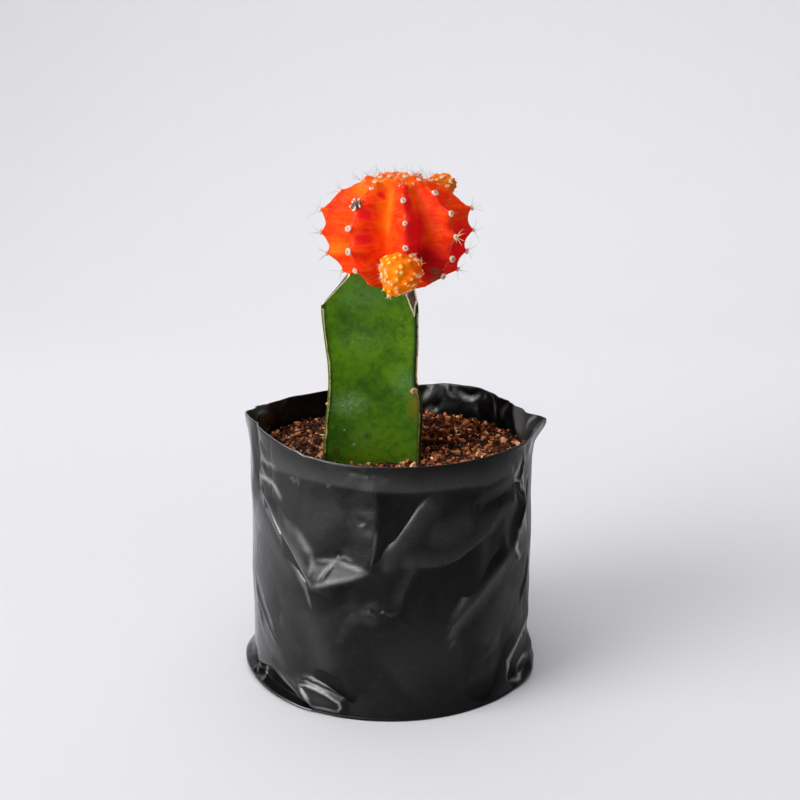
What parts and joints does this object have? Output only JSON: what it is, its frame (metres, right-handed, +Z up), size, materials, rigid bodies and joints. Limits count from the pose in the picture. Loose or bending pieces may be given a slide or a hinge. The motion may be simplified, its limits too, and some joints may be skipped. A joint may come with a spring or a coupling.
{
  "type": "potted moon cactus",
  "caption": "Grafted cactus: an orange ribbed globe with buds on a green three-angled stock, planted in a round creased black film nursery bag of potting mix.",
  "frame": {"origin": "on the ground under the middle of the bag", "axes": "+Z up, -Y towards the broad front face of the stock and the front bud, +X to the right seen from the front"},
  "size_m": [0.1031, 0.1016, 0.1751],
  "materials": {
    "film": "black polythene film with a soft sheen, creased",
    "mix": "matt coarse coco and peat crumbs, red-brown",
    "green_skin": "satin green skin with pale waxy patches and tan corky margins",
    "orange_skin": "satin orange to scarlet skin, cream felt areoles",
    "yellow_skin": "satin golden skin with pale tips",
    "ochre_skin": "satin ochre skin with pale tips"
  },
  "bodies": {
    "root": {"grow_bag": "film", "potting_mix": "mix", "rootstock": "green_skin", "scion": "orange_skin", "offset_front": "yellow_skin", "offset_crown": "ochre_skin"}
  },
  "joints": []
}
